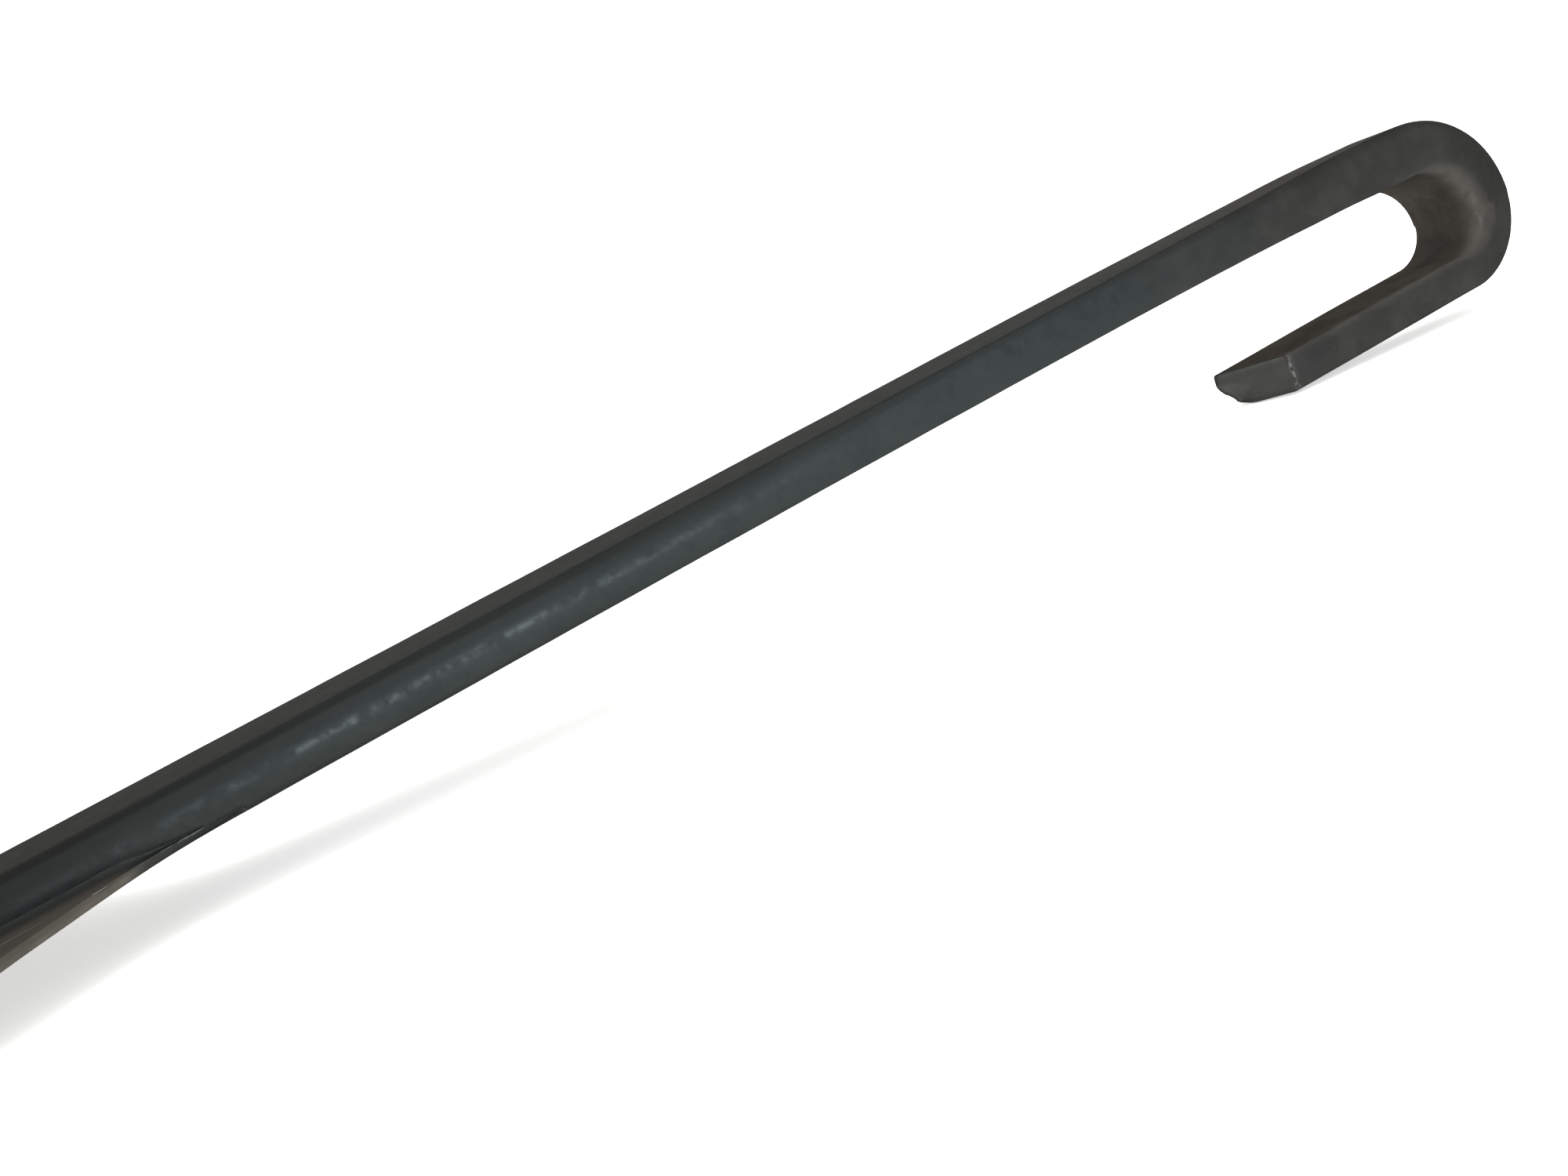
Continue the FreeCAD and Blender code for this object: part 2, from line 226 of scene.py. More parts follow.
def bar_section(x):
    """Thickness, flat width and crown of the bar at x, by a smooth curve through the sections."""
    stations = [row[0] for row in SECTIONS]
    if x >= stations[0]:
        return SECTIONS[0][1:]
    if x <= stations[-1]:
        return SECTIONS[-1][1:]
    i = next(k for k in range(len(stations) - 1) if x >= stations[k + 1])
    share = (x - stations[i]) / (stations[i + 1] - stations[i])
    values = []
    for column in (1, 2, 3):
        points = [SECTIONS[min(max(k, 0), len(SECTIONS) - 1)] for k in range(i - 1, i + 3)]
        before, here, after = [slope(a, b, column) for a, b in zip(points, points[1:])]
        span = points[2][0] - points[1][0]
        enter = here if before is None else (before + here) / 2
        leave = here if after is None else (here + after) / 2
        cube = share**3
        square = share**2
        values.append(
            points[1][column] * (2 * cube - 3 * square + 1)
            + span * enter * (cube - 2 * square + share)
            + points[2][column] * (3 * square - 2 * cube)
            + span * leave * (cube - square)
        )
    return values


def curve(start, control, end, count):
    """Points on a quadratic curve, without its last one."""
    points = []
    for i in range(count):
        t = i / count
        points.append(tuple(mix(mix(a, b, t), mix(b, c, t), t) for a, b, c in zip(start, control, end)))
    return points


def cross_section(thick, flat_outer, flat_inner, crown, round_outer, round_inner):
    """A closed outline of (depth, across) pairs, from the middle of the outer face all the way round."""
    radius = (thick**2 / 4 + crown**2) / (2 * crown)
    spread = math.asin(thick / 2 / radius)

    def side(angle):
        depth = thick / 2 + radius * math.sin(angle)
        half = mix(flat_outer, flat_inner, depth / thick) / 2
        return depth, half + crown - radius * (1 - math.cos(angle))

    first_angle = -spread + round_outer / radius
    last_angle = spread - round_inner / radius
    outer_edge = (0.0, flat_outer / 2 - round_outer)
    inner_edge = (thick, flat_inner / 2 - round_inner)
    half = [(0.0, outer_edge[1] * i / FACE_POINTS) for i in range(FACE_POINTS)]
    first = side(first_angle)
    half += curve(outer_edge, worn_corner(outer_edge, first, flat_outer / 2), first, CORNER_POINTS)
    half += [side(mix(first_angle, last_angle, i / SIDE_POINTS)) for i in range(SIDE_POINTS)]
    half += curve(side(last_angle), (thick, flat_inner / 2), inner_edge, CORNER_POINTS)
    half += [(thick, inner_edge[1] * (1 - i / FACE_POINTS)) for i in range(FACE_POINTS + 1)]
    return half + [(depth, -across) for depth, across in reversed(half[1:-1])]


def worn_corner(edge, side, corner):
    """Control point of an outer edge, between a full corner and a flat chamfer."""
    middle = tuple((a + b) / 2 for a, b in zip(edge, side))
    return tuple(mix(a, b, CHAMFERING) for a, b in zip((0.0, corner), middle))


def place(section, outer, inner, shift=0.0):
    """Puts a section between an outer and an inner point of the side view, which is (x, z)."""
    thick = section[len(section) // 2][0]
    points = []
    for depth, across in section:
        x, z = (mix(a, b, depth / thick) for a, b in zip(outer, inner))
        points.append(Vector((x, across + shift, z)))
    return points


def loft(name, rings, attributes=None):
    """A closed skin over rings of points, with a face at each end."""
    count = len(rings[0])
    vertices = [point * MM for ring in rings for point in ring]
    faces = []
    for r in range(len(rings) - 1):
        for i in range(count):
            j = (i + 1) % count
            faces.append((r * count + i, r * count + j, (r + 1) * count + j, (r + 1) * count + i))
    faces.append(tuple(reversed(range(count))))
    faces.append(tuple(range((len(rings) - 1) * count, len(rings) * count)))
    mesh = bpy.data.meshes.new(name)
    mesh.from_pydata(vertices, [], faces)
    for attribute, values in (attributes or {}).items():
        mesh.attributes.new(attribute, "FLOAT", "POINT").data.foreach_set("value", values)
    mesh.validate()
    mesh.update()
    piece = bpy.data.objects.new(name, mesh)
    bpy.context.scene.collection.objects.link(piece)
    fix_normals(piece)
    for polygon in mesh.polygons:
        polygon.use_smooth = len(polygon.vertices) == 4
    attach(piece, "root")
    return piece


def fix_normals(piece):
    """Turns all faces outwards."""
    work = bmesh.new()
    work.from_mesh(piece.data)
    bmesh.ops.recalc_face_normals(work, faces=work.faces)
    work.to_mesh(piece.data)
    work.free()


def roughen(piece, size, depth):
    """Sinks a surface by up to the given depth in soft uneven patches of the given size."""
    mesh = piece.data
    normals = [vertex.normal.copy() for vertex in mesh.vertices]
    for vertex, normal in zip(mesh.vertices, normals):
        lump = noise.noise(vertex.co / (size * MM))
        vertex.co -= normal * (0.5 + 0.5 * lump) * depth * MM
    mesh.update()


def bar_stations():
    """Positions of the bar's rings, close together at the root, where the bar steps up on to the blade."""
    ahead = spaced(ROOT + 2 * STEP_GAP, BEND_START, RING_STEP)
    return spaced(SPINE_END, ROOT, RING_STEP) + [ROOT + STEP_GAP] + ahead


def bar_rings():
    """The bar from the spine's toe to the start of the bend."""
    rings = []
    for x in bar_stations():
        thick, flat, crown = bar_section(x)
        shear = (BEND_START - HOOK_START) * ease(x, BEND_START - SHEAR_RUN, BEND_START)
        middle_round = mix(ROOT_EDGE_ROUND, EDGE_ROUND, ease(x, *ROOT_ROUND_RUN))
        top_round = mix(middle_round, HOOK_EDGE_ROUND, ease(x, *HOOK_ROUND_RUN))
        section = cross_section(thick, flat, flat, crown, top_round, EDGE_ROUND)
        rings.append(place(section, (x, TOP), (x - shear, TOP - thick)))
    return [seat_on_blade(ring) for ring in rings]


def seat_on_blade(ring):
    """Behind the root the bar sits on the blade and slopes down to its toe."""
    x = ring[0].x
    if x > ROOT:
        return ring
    roof = spine_roof(x)
    floor = BLADE_TOP - SEAT_OVERLAP
    return [Vector((point.x, point.y, min(max(point.z, floor), roof))) for point in ring]


def spine_roof(x):
    """Height of the spine's top over the blade."""
    drop = max(SPINE_END + SPINE_SLOPE - x, 0) / SPINE_SLOPE
    return mix(TOP, BLADE_TOP + TOE_HEIGHT, drop)


def bend_rings():
    """The two quarters of the hook's bend. Bending has made it wider on the inside than on the outside."""
    rings = []
    for quarter in (0, 1):
        radius = (UPPER_RADIUS, LOWER_RADIUS)[quarter]
        inner_radius = (INNER_UPPER_RADIUS, INNER_LOWER_RADIUS)[quarter]
        thick = (BAR_THICK, LEG_THICK)[quarter]
        for i in range(1, BEND_RINGS // 2 + 1):
            turn = 90 - (quarter + i / (BEND_RINGS / 2)) * 90
            across, up = math.cos(math.radians(turn)), math.sin(math.radians(turn))
            outer = (HOOK_END - radius + radius * across, LOWER_RADIUS + radius * up)
            inner = (THROAT - inner_radius + inner_radius * across, LOWER_RADIUS + inner_radius * up)
            spread = BEND_SPREAD * across
            section = cross_section(
                thick,
                HOOK_WIDTH - 2 * HOOK_CROWN - spread,
                HOOK_WIDTH - 2 * HOOK_CROWN + spread,
                HOOK_CROWN,
                mix(HOOK_EDGE_ROUND, LEG_EDGE_ROUND, across if quarter == 0 else 1),
                mix(mix(EDGE_ROUND, LEG_EDGE_ROUND, quarter), INNER_EDGE_ROUND, across),
            )
            rings.append(place(section, outer, inner))
    return rings


def leg_rings():
    """The hook's leg. It leans a little to the far side and its end is cut askew."""
    leg_start = HOOK_END - LOWER_RADIUS
    inner_start = THROAT - INNER_LOWER_RADIUS
    rings = []
    for x in spaced(leg_start, LEG_TIP, RING_STEP)[1:]:
        share = (leg_start - x) / (leg_start - LEG_TIP)
        shear = (leg_start - inner_start) * (1 - ease(share, 0, LEG_SQUARE))
        flat = HOOK_WIDTH - 2 * HOOK_CROWN - LEG_TAPER * share
        section = cross_section(LEG_THICK, flat, flat, HOOK_CROWN, LEG_EDGE_ROUND, LEG_EDGE_ROUND)
        ring = place(section, (x, 0), (x - shear, LEG_THICK), LEG_LEAN * (leg_start - x))
        for point in ring:
            point.x += end_shift(point.y, point.z, ease(share, SLANT_FROM, 1), ease(share, WEAR_FROM, 1))
        rings.append(ring)
    return rings


def end_shift(y, z, slant, wear):
    """How far the askew cut, and the wear of its far lower corner, set a point back along the leg."""
    far = ease(y, WEAR_INSET, HOOK_WIDTH / 2 + WEAR_OUTSET)
    far_corner = far * ease(LEG_THICK - z, WEAR_INSET, LEG_THICK)
    return slant * LEG_SLANT * (0.5 - y / HOOK_WIDTH) + wear * CORNER_WEAR * far_corner


def droop(ring):
    """The bend sinks a little below the line of the bar."""
    return [Vector((p.x, p.y, p.z - BEND_DROOP * ease(p.x, *DROOP_RUN) * max(p.z, 0) / TOP)) for p in ring]


def end_cap(ring):
    """The cut end: a ragged lip stands up round its rim, and the face inside lies a little lower."""
    centre = sum(ring, Vector()) / len(ring)
    lip = []
    for point in ring:
        height = LIP_HEIGHT + LIP_RAGGED * noise.noise(point * LIP_PITCH)
        lip.append(point + Vector((-height, 0, 0)) + (centre - point) * LIP_LEAN)
    cap = [lip]
    for inward in CAP_RINGS:
        face = [point.lerp(centre, inward) for point in ring]
        for point in face:
            point.x = LEG_TIP + end_shift(point.y, point.z, 1, 1) + CAP_DEPTH
        cap.append(face)
    return cap


def make_bar():
    """The whole bar in one skin, marked where it is brown inside the bend, burred or freshly cut."""
    rings = bar_rings()
    bend_start = len(rings)
    rings += bend_rings() + leg_rings()
    rings = [droop(ring) for ring in rings]
    lip_start = len(rings)
    rings += end_cap(rings[-1])
    count = len(rings[0])
    inside = []
    burr = []
    cut = []
    for r, ring in enumerate(rings):
        turned = ease(r, bend_start - BROWN_RINGS_BEFORE, bend_start + BROWN_RINGS_INTO)
        for i in range(count):
            facing_in = ease(min(i, count - i) / (count / 2), *INSIDE_RUN)
            inside.append(turned * facing_in if r < lip_start else 0.0)
            near = ease(-ring[i].y, *BURR_RUN)
            burr.append(near if r == lip_start else 0.0)
            cut.append(1.0 if r > lip_start else 0.0)
    piece = loft("hook_bar_forged", rings, {"inside": inside, "burr": burr, "cut": cut})
    roughen(piece, *BAR_HOLLOWS)
    roughen(piece, *BAR_DENTS)
    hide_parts("hook_bar")
    return piece


def blade_half_width(x):
    """Half the blade's width: two arcs from the neck to the full width, and rounded front corners."""
    rise = BLADE_HALF - NECK_HALF
    turn = math.acos(1 - rise / (FLARE_RADIUS + SHOULDER_RADIUS))
    back = ROOT - x
    flare_run = FLARE_RADIUS * math.sin(turn)
    full = (FLARE_RADIUS + SHOULDER_RADIUS) * math.sin(turn)
    if back < flare_run:
        return NECK_HALF + FLARE_RADIUS - math.sqrt(FLARE_RADIUS**2 - back**2)
    if back < full:
        return BLADE_HALF - SHOULDER_RADIUS + math.sqrt(SHOULDER_RADIUS**2 - (full - back) ** 2)
    near_end = max(CORNER_RADIUS - (x - BLADE_END), 0)
    return BLADE_HALF - CORNER_RADIUS + math.sqrt(CORNER_RADIUS**2 - near_end**2)


def warmth_at(out):
    """The blade is browner than the bar, from a little way out of the bar's side."""
    return ease(out, WARM_START, WARM_FULL)


def ground_at(point):
    """1 on the bevel that is ground on the blade's upper side, where the oxide is gone."""
    on_top = point.z > UNDERSIDE + EDGE_THICK / 2
    return ease(BLADE_END + BEVEL_LENGTH - point.x, 0, RING_STEP) if on_top else 0.0


def rim_half_width(x, root_half):
    """Half the blade's width on its top or bottom face. Its root continues the bar's round side."""
    return mix(root_half, blade_half_width(x), ease(ROOT - x, 0, NECK_BLEND))


def make_blade():
    """The flared blade, flat below and ground to a bevel above."""
    stations = spaced(BLADE_END, BLADE_END + CORNER_RADIUS, CORNER_STEP)
    stations += spaced(BLADE_END + CORNER_RADIUS, ROOT, RING_STEP)[1:]
    rings = []
    for x in stations:
        thick = mix(EDGE_THICK, BLADE_TOP - UNDERSIDE, min((x - BLADE_END) / BEVEL_LENGTH, 1))
        crown = mix(ROOT_BULGE, RIM_BULGE, ease(ROOT - x, 0, NECK_BLEND)) * thick
        flat_top = 2 * (rim_half_width(x, side_of_bar(BLADE_TOP)) - crown)
        flat_bottom = 2 * (rim_half_width(x, SECTIONS[-1][2] / 2) - crown)
        section = cross_section(thick, flat_top, flat_bottom, crown, RIM_ROUND * thick, RIM_ROUND * thick)
        rings.append(place(section, (x, UNDERSIDE + thick), (x, UNDERSIDE)))
    points = [point for ring in rings for point in ring]
    warmth = [max(warmth_at(abs(point.y)), ease(ROOT - point.x, *BLADE_WARM_RUN)) for point in points]
    ground = [ground_at(point) for point in points]
    piece = loft("blade_ground", rings, {"warmth": warmth, "ground": ground})
    roughen(piece, *BLADE_HOLLOWS)
    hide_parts("blade")
    return piece


def side_circle():
    """Radius and middle, as (out, up), of the bar's round side where it lies on the blade."""
    thick, flat, crown = SECTIONS[-1][1:]
    radius = (thick**2 / 4 + crown**2) / (2 * crown)
    return radius, flat / 2 + crown - radius, TOP - thick / 2


def side_of_bar(z):
    """How far out the bar's round side is at height z."""
    radius, middle_out, middle_up = side_circle()
    return middle_out + math.sqrt(radius**2 - (z - middle_up) ** 2)


def bead_profile(roof, rim):
    """The bead's hollow surface as (out, up) points, from the bar's round side down to the blade.

    The bead is smaller where the blade's rim leaves it less room.
    """
    radius, middle_out, middle_up = side_circle()
    side_foot = side_of_bar(BLADE_TOP)
    reach = min(rim - side_foot, BEAD_REACH)
    full_height = middle_up - radius * math.sin(BEAD_ANGLE) - BLADE_TOP
    height = full_height * min(BEAD_GROWTH * reach / BEAD_REACH, 1)
    top_up = min(BLADE_TOP + height, roof - ROOF_GAP)
    angle = math.asin((middle_up - top_up) / radius)
    top = (side_of_bar(top_up) - BEAD_INSET, top_up)
    corner = (top[0] - (top_up - BLADE_TOP) * math.tan(angle), BLADE_TOP + CONTACT)
    foot = (side_foot + reach, BLADE_TOP - CONTACT)
    return curve(top, corner, foot, BEAD_POINTS) + [foot]


def make_side_weld(side, name, node):
    """A hollow bead, ground smooth, that fills the corner between the bar's round side and the blade."""
    side_half = side_of_bar(BLADE_TOP)
    first_rim = side_half + BEAD_FIRST_REACH
    start = next(x for x in spaced(ROOT, SPINE_END, STEP_GAP) if rim_half_width(x, side_half) > first_rim)
    rings = []
    warmth = []
    base = BLADE_TOP - BEAD_DEPTH
    for x in spaced(start, SPINE_END, BEAD_STEP):
        roof = spine_roof(x)
        profile = bead_profile(roof, rim_half_width(x, side_half) - RIM_GAP)
        top, foot = profile[0], profile[-1]
        back = top[0] - BEAD_BACK
        tucked_up = min(top[1] + BEAD_TUCK, roof - TUCK_ROOF_GAP)
        outline = [(top[0], tucked_up)] + profile
        outline += [(foot[0], base), (back, base), (back, tucked_up)]
        rings.append([Vector((x, side * out, up)) for out, up in outline])
        warmth += [warmth_at(out) for out, up in outline]
    piece = loft(name, rings, {"warmth": warmth})
    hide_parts(node)
    return piece


def make_toe_weld():
    """A rippled bead across the blade at the spine's toe."""
    rings = []
    middle_x = SPINE_END - TOE_BEAD_SHIFT
    middle_z = BLADE_TOP - TOE_BEAD_DEPTH
    for y in spaced(-NECK_HALF, NECK_HALF, TOE_BEAD_STEP):
        ripple = TOE_RIPPLE * math.sin(y * TOE_RIPPLE_RATE)
        swell = 1 + ripple + TOE_UNEVEN * noise.noise(Vector((0, y, TOE_NOISE_HEIGHT)))
        share = abs(y) / (NECK_HALF + TOE_BEAD_OVERRUN)
        taper = math.sqrt(max(1 - share**TOE_TAPER_POWER, TOE_TAPER_LEAST))
        size = TOE_BEAD_SIZE * swell * taper
        outline = [(SPINE_END + BEAD_TUCK, BLADE_TOP - BEAD_DEPTH)]
        for degrees in range(TOE_BEAD_TURN, 180 + 1, TOE_BEAD_TURN):
            turn = math.radians(degrees)
            rise = size * TOE_BEAD_SQUASH * math.sin(turn)
            outline.append((middle_x + size * math.cos(turn), middle_z + rise))
        rings.append([Vector((x, y, z)) for x, z in outline])
    piece = loft("toe_bead", rings)
    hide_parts("weld_toe")
    return piece


class Material:
    """A short way to build a node material."""

    def __init__(self, name):
        self.material = bpy.data.materials.new(name)
        self.material.use_nodes = True
        self.nodes = self.material.node_tree.nodes
        self.links = self.material.node_tree.links
        self.shader = self.nodes["Principled BSDF"]
        self.place = self.add("ShaderNodeTexCoord").outputs["Object"]

    def add(self, kind, inputs=None, **settings):
        """A new node. Each input is a value, or another node's output to link."""
        node = self.nodes.new(kind)
        for key, value in settings.items():
            setattr(node, key, value)
        for key, value in (inputs or {}).items():
            self.set(node.inputs[key], value)
        return node

    def set(self, socket, value):
        if isinstance(value, bpy.types.NodeSocket):
            self.links.new(value, socket)
        else:
            socket.default_value = value

    def stretched(self, scale):
        """Places multiplied by a scale for each axis, which stretches a pattern laid on them."""
        return self.add("ShaderNodeMapping", {"Vector": self.place, "Scale": scale}).outputs["Vector"]

    def noise(self, scale, detail=4.0, roughness=0.55, place=None):
        """Cloudy noise from 0 to 1. A larger scale gives smaller patches."""
        inputs = {"Vector": place or self.place, "Scale": scale, "Detail": detail, "Roughness": roughness}
        return self.add("ShaderNodeTexNoise", inputs).outputs["Fac"]

    def ramp(self, value, low, high, from_value=0.0, to_value=1.0):
        """A smooth change from one value to another while the input goes from low to high."""
        inputs = {"Value": value, "From Min": low, "From Max": high, "To Min": from_value, "To Max": to_value}
        return self.add("ShaderNodeMapRange", inputs, interpolation_type="SMOOTHSTEP").outputs["Result"]

    def patches(self, scale, detail, roughness, low, high, from_value=0.0, to_value=1.0):
        """Noise turned into patches by a ramp between two of its levels."""
        return self.ramp(self.noise(scale, detail, roughness), low, high, from_value, to_value)

    def math(self, operation, a, b):
        return self.add("ShaderNodeMath", {0: a, 1: b}, operation=operation).outputs["Value"]

    def blend(self, share, a, b):
        """Colour a, or colour b by the given share."""
        node = self.add("ShaderNodeMix", data_type="RGBA")
        self.set(node.inputs[0], share)
        self.set(node.inputs[6], a)
        self.set(node.inputs[7], b)
        return node.outputs[2]

    def attribute(self, name):
        """A value that the mesh carries at its points, or 0 where it has none of that name."""
        return self.add("ShaderNodeAttribute", attribute_name=name).outputs["Fac"]

    def bump(self, height, distance, strength=1.0, normal=None):
        """Fine relief of the given depth in metres, on top of any relief before it."""
        inputs = {"Height": height, "Distance": distance, "Strength": strength}
        if normal:
            inputs["Normal"] = normal
        return self.add("ShaderNodeBump", inputs).outputs["Normal"]


# Colours of the steel's surface
DARK_OXIDE = (0.0218, 0.0218, 0.0209, 1)
PALE_OXIDE = (0.0275, 0.0275, 0.0264, 1)
BLUE_OXIDE = (0.0198, 0.0236, 0.0245, 1)
BROWN_OXIDE = (0.056, 0.050, 0.044, 1)
WARM_OXIDE = (0.058, 0.053, 0.046, 1)
# Darker colour that the bar is blended towards near the blade end
TOWARD_BLADE_DARK = (0.0130, 0.0140, 0.0135, 1)
CUT_OXIDE = (0.040, 0.040, 0.038, 1)
GROUND_STEEL = (0.17, 0.168, 0.160, 1)
BARE_STEEL = (0.42, 0.42, 0.41, 1)

# Patches in the steel: scale, detail, roughness, the noise levels they run between, and their end values
MOTTLE = (160, 5.0, 0.6, 0.40, 0.66)
SPECKLE = (1400, 3.0, 0.7, 0.45, 0.75)
WARM_PATCHES = (200, 4.0, 0.55, 0.2, 0.6, 0.7, 1)
GROUND_PATCHES = (300, 4.0, 0.55, 0.3, 0.6, 0.7, 1)
INSIDE_PATCHES = (260, 4.0, 0.55, 0.3, 0.6, 0.45, 1)
WORN_PATCHES = (500, 4.0, 0.55, 0.42, 0.62)
BURR_PATCHES = (1100, 2.0, 0.55, 0.42, 0.58)
GLOSS_PATCHES = (480, 4.0, 0.65, 0.36, 0.64, -0.14, 0.14)

# Changes along the bar: where each starts and ends, and its value at both ends
TEMPERED = (0.06, 0.10, 0.75, 0.0)
# Darkening towards the blade end: full below -75 mm along the bar, gone past -15 mm
TOWARD_BLADE_DARKENING = (-0.075, -0.015, 0.85, 0.0)
FORGED = (0.0, 0.07, 0.10, 0.0)
TEMPER_UNEVEN = 0.01

# Gloss and relief. UPRIGHT says how far the relief fades on faces that look up or down
METAL_SHARE = 0.5
GRAZING_TINT = (0.40, 0.39, 0.38, 1)
ROUGHNESS = 0.42
INSIDE_ROUGHNESS = 0.4
SPECKLE_SHARE = 0.3
EDGE_POINTINESS = (0.53, 0.62)
UPRIGHT = (0.5, 0.95, 1.0, 0.12)
RELIEF_NOISE = (500, 3.0, 0.5)
RELIEF_DEPTH = 0.00005
PIT_SCALE = 520.0
PIT_EDGE = (0.05, 0.28)
PIT_DEPTH = 0.00002
SCRATCH_NOISE = (1.0, 3.0, 0.6)
SCRATCH_STRETCH = (40, 900, 900)
SCRATCH_DEPTH = 0.000003

# Strength of the white surround, and its glows: the heights where each starts and is full, and its strength
SURROUND = 1.1
OVERHEAD_GLOW = (0.6, 0.95, 0.9)
PAPER_GLOW = (-0.05, -0.5, 2.0)


def oxide_colour(steel, along, wear, inside):
    """Mottled oxide, blue in the middle of the bar, darker towards the blade end, with brown, ground and bare
    parts.
    """
    mottle = steel.patches(*MOTTLE)
    colour = steel.blend(mottle, DARK_OXIDE, PALE_OXIDE)
    colour = steel.blend(steel.math("MULTIPLY", steel.patches(*SPECKLE), SPECKLE_SHARE), colour, PALE_OXIDE)
    uneven_along = steel.math("ADD", along, steel.math("MULTIPLY", mottle, TEMPER_UNEVEN))
    colour = steel.blend(steel.ramp(uneven_along, *TEMPERED), colour, BLUE_OXIDE)
    # The colour gets darker towards the blade end
    colour = steel.blend(steel.ramp(along, *TOWARD_BLADE_DARKENING), colour, TOWARD_BLADE_DARK)
    warm = steel.math("MULTIPLY", steel.attribute("warmth"), steel.patches(*WARM_PATCHES))
    colour = steel.blend(warm, colour, WARM_OXIDE)
    ground = steel.math("MULTIPLY", steel.attribute("ground"), steel.patches(*GROUND_PATCHES))
    colour = steel.blend(ground, colour, GROUND_STEEL)
    colour = steel.blend(inside, colour, BROWN_OXIDE)
    colour = steel.blend(steel.attribute("cut"), colour, CUT_OXIDE)
    edges = steel.ramp(steel.add("ShaderNodeNewGeometry").outputs["Pointiness"], *EDGE_POINTINESS)
    worn = steel.math("MULTIPLY", edges, steel.patches(*WORN_PATCHES))
    burr = steel.math("MULTIPLY", steel.attribute("burr"), steel.patches(*BURR_PATCHES))
    bare = steel.math("MAXIMUM", steel.math("MULTIPLY", worn, wear), burr)
    return steel.blend(bare, colour, BARE_STEEL)


def surface_relief(steel, coarse):
    """Soft unevenness, small pits and fine scratches along the bar."""
    normal = steel.bump(steel.noise(*RELIEF_NOISE), RELIEF_DEPTH, coarse)
    pits = steel.add("ShaderNodeTexVoronoi", {"Vector": steel.place, "Scale": PIT_SCALE}).outputs["Distance"]
    normal = steel.bump(steel.ramp(pits, *PIT_EDGE), PIT_DEPTH, coarse, normal)
    scratches = steel.noise(*SCRATCH_NOISE, steel.stretched(SCRATCH_STRETCH))
    return steel.bump(scratches, SCRATCH_DEPTH, coarse, normal)


def blackened_steel(name, wear):
    """Blued steel with worn edges. The rolled top and bottom faces are smoother than the sides."""
    steel = Material(name)
    along = steel.add("ShaderNodeSeparateXYZ", {"Vector": steel.place}).outputs["X"]
    inside = steel.math("MULTIPLY", steel.attribute("inside"), steel.patches(*INSIDE_PATCHES))
    facing = steel.add("ShaderNodeNewGeometry").outputs["Normal"]
    upright = steel.add("ShaderNodeSeparateXYZ", {"Vector": facing}).outputs["Z"]
    coarse = steel.ramp(steel.math("ABSOLUTE", upright, 0.0), *UPRIGHT)
    forged = steel.math("ADD", steel.patches(*GLOSS_PATCHES), steel.ramp(along, *FORGED))
    roughness = steel.math("ADD", steel.math("MULTIPLY", forged, coarse), ROUGHNESS)
    roughness = steel.math("ADD", roughness, steel.math("MULTIPLY", inside, INSIDE_ROUGHNESS))
    steel.set(steel.shader.inputs["Base Color"], oxide_colour(steel, along, wear, inside))
    steel.set(steel.shader.inputs["Roughness"], roughness)
    steel.set(steel.shader.inputs["Normal"], surface_relief(steel, coarse))
    steel.shader.inputs["Metallic"].default_value = METAL_SHARE
    steel.shader.inputs["Specular IOR Level"].default_value = 0.0
    steel.shader.inputs["Specular Tint"].default_value = GRAZING_TINT
    return steel.material


def paint(piece, material):
    piece.data.materials.clear()
    piece.data.materials.append(material)


# Floor, lights and camera
FLOOR_SIZE = 6.0
FLOOR_ALBEDO = (0.93, 0.93, 0.93, 1)
FLOOR_ROUGHNESS = 0.9
FLOOR_SPECULAR = 0.1
FLOOR_GLOW = 0.5
SURROUND_COLOUR = (1, 0.995, 0.95, 1)
FRONT_LIGHT = {
    "place": (0.0, -0.75, 0.055),
    "target": (-0.01, 0, 0.02),
    "size": (0.32, 0.11),
    "power": 7.3,
    "colour": (0.91, 0.97, 1.0),
}
OVERHEAD_LIGHT = {
    "place": (0, 0, 1.0),
    "target": (0, 0, 0),
    "size": (2.4, 2.4),
    "power": 6.0,
    "colour": (1, 1, 1),
}
CAMERA_PLACE = (-0.0191, -0.1248, 0.0373)
CAMERA_RIGHT = (0.840, -0.320, -0.437)
CAMERA_BACK = (-0.254, -0.945, 0.206)
CAMERA_SENSOR = 36
CAMERA_LENS = 27
CAMERA_NEAR = 0.005


def make_floor():
    """A wide pale floor that slopes, so that the tool lies on its blade's edge and on the end of its leg."""
    tilt = math.atan2((UNDERSIDE - bar_low.z) * MM, (LEG_TIP - BLADE_END) * MM)
    bpy.ops.mesh.primitive_plane_add(size=FLOOR_SIZE, location=(LEG_TIP * MM, 0, 0))
    floor = bpy.context.object
    floor.name = "floor"
    floor.rotation_euler = (0, tilt, 0)
    floor.visible_glossy = False
    pale = Material("pale_floor")
    pale.shader.inputs["Base Color"].default_value = FLOOR_ALBEDO
    pale.shader.inputs["Roughness"].default_value = FLOOR_ROUGHNESS
    pale.shader.inputs["Specular IOR Level"].default_value = FLOOR_SPECULAR
    pale.shader.inputs["Emission Color"].default_value = (1, 1, 1, 1)
    pale.shader.inputs["Emission Strength"].default_value = FLOOR_GLOW
    paint(floor, pale.material)


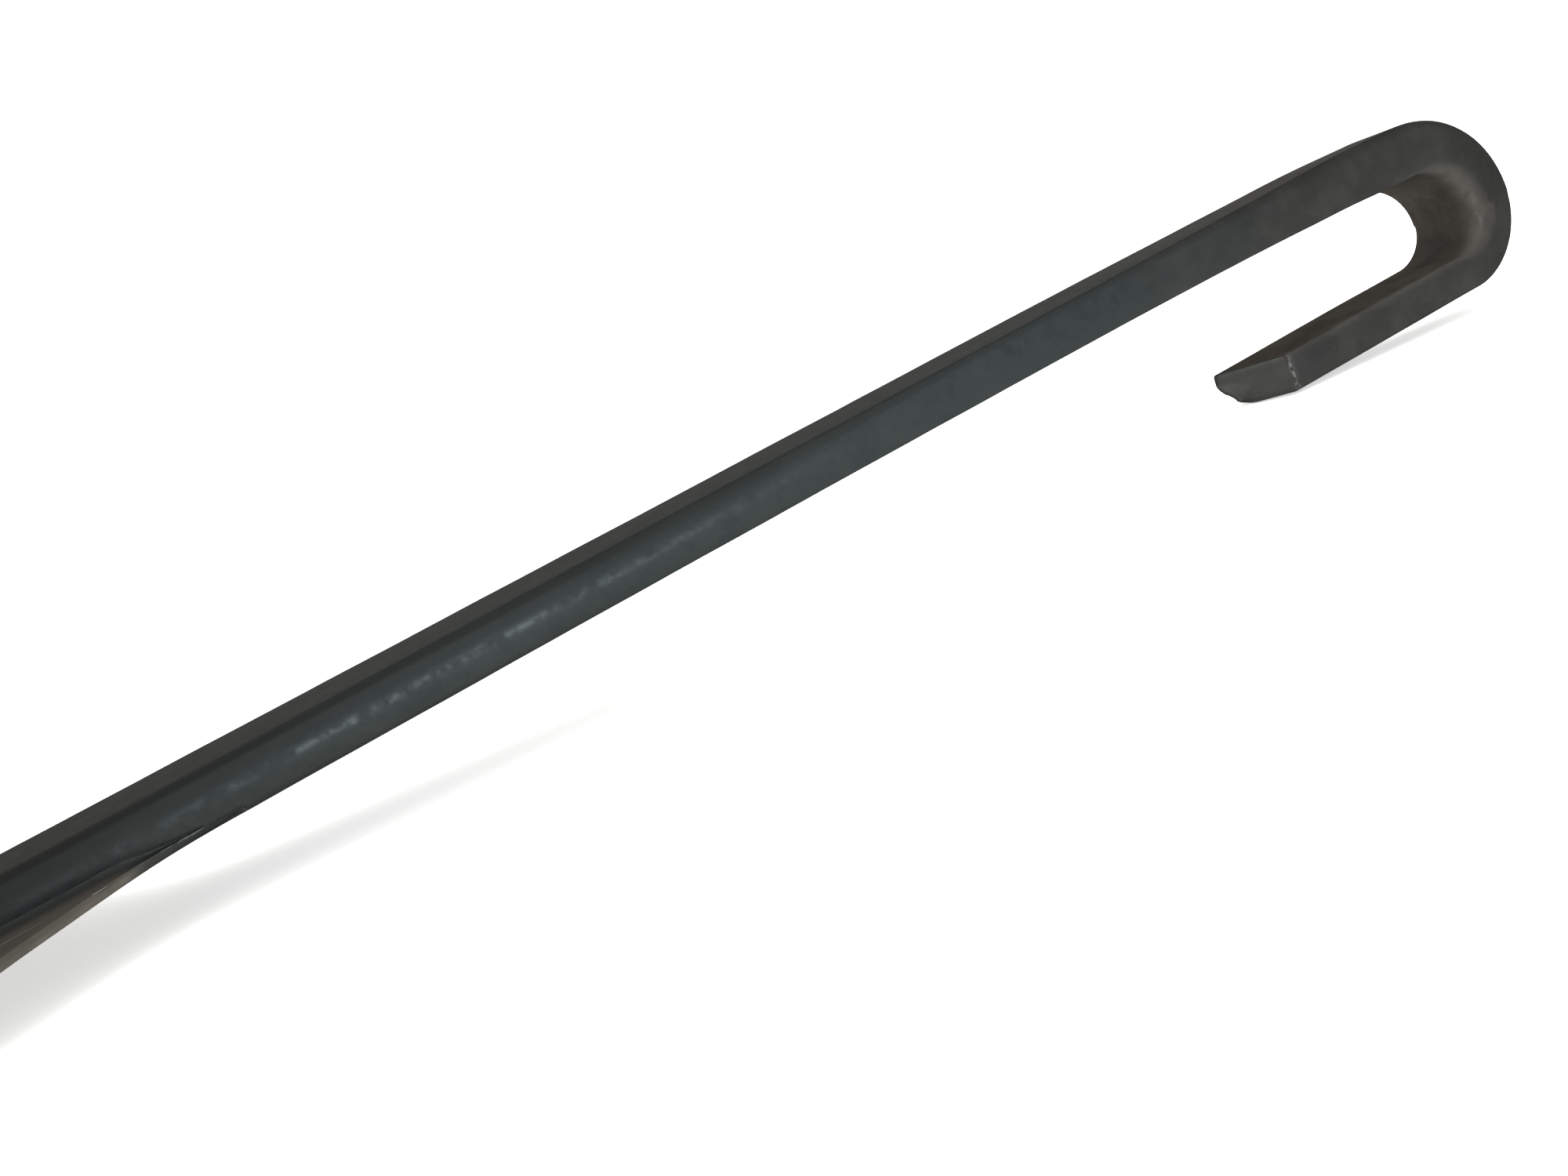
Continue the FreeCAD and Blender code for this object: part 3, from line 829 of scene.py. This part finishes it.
def make_world():
    """A white surround, brighter overhead, and below, where the steel mirrors the paper it lies on."""
    world = bpy.data.worlds.new("studio")
    world.use_nodes = True
    nodes, links = world.node_tree.nodes, world.node_tree.links
    direction = nodes.new("ShaderNodeTexCoord")
    split = nodes.new("ShaderNodeSeparateXYZ")
    links.new(direction.outputs["Generated"], split.inputs["Vector"])
    strength = nodes.new("ShaderNodeValue").outputs["Value"]
    strength.default_value = SURROUND
    for start, end, extra in (OVERHEAD_GLOW, PAPER_GLOW):
        glow = nodes.new("ShaderNodeMapRange")
        for name, value in {"From Min": start, "From Max": end, "To Min": 0, "To Max": extra}.items():
            glow.inputs[name].default_value = value
        links.new(split.outputs["Z"], glow.inputs["Value"])
        total = nodes.new("ShaderNodeMath")
        links.new(strength, total.inputs[0])
        links.new(glow.outputs["Result"], total.inputs[1])
        strength = total.outputs["Value"]
    links.new(strength, nodes["Background"].inputs["Strength"])
    nodes["Background"].inputs["Color"].default_value = SURROUND_COLOUR
    bpy.context.scene.world = world


def make_light(name, place, target, size, power, colour):
    """A rectangular soft light that faces its target."""
    data = bpy.data.lights.new(name, "AREA")
    data.shape = "RECTANGLE"
    data.size, data.size_y = size
    data.energy = power
    data.color = colour
    light = bpy.data.objects.new(name, data)
    light.location = place
    light.rotation_euler = (Vector(target) - Vector(place)).to_track_quat("-Z", "Y").to_euler()
    bpy.context.scene.collection.objects.link(light)
    return light


def make_camera():
    """A wide-angle camera close in front of the tool and a little above it, rolled so that the bar slants."""
    data = bpy.data.cameras.new("camera")
    data.sensor_width = CAMERA_SENSOR
    data.lens = CAMERA_LENS
    data.clip_start = CAMERA_NEAR
    camera = bpy.data.objects.new("camera", data)
    right = Vector(CAMERA_RIGHT).normalized()
    back = Vector(CAMERA_BACK)
    back = (back - back.dot(right) * right).normalized()
    up = back.cross(right)
    turn = Matrix((right, up, back)).transposed().to_4x4()
    camera.matrix_world = Matrix.Translation(CAMERA_PLACE) @ turn
    bpy.context.scene.collection.objects.link(camera)
    bpy.context.scene.camera = camera


hook_bar = make_bar()
blade = make_blade()
beads = [
    make_side_weld(1, "left_bead", "weld_left"),
    make_side_weld(-1, "right_bead", "weld_right"),
    make_toe_weld(),
]
weld_look = blackened_steel("weld_look", wear=0.1)
paint(hook_bar, blackened_steel("bar_steel_look", wear=0.25))
paint(blade, blackened_steel("blade_steel_look", wear=0.3))
for bead in beads:
    paint(bead, weld_look)

make_floor()
make_world()
make_light("front", **FRONT_LIGHT)
overhead = make_light("overhead", **OVERHEAD_LIGHT)
overhead.visible_glossy = False
make_camera()
bpy.context.scene.view_settings.view_transform = "Standard"
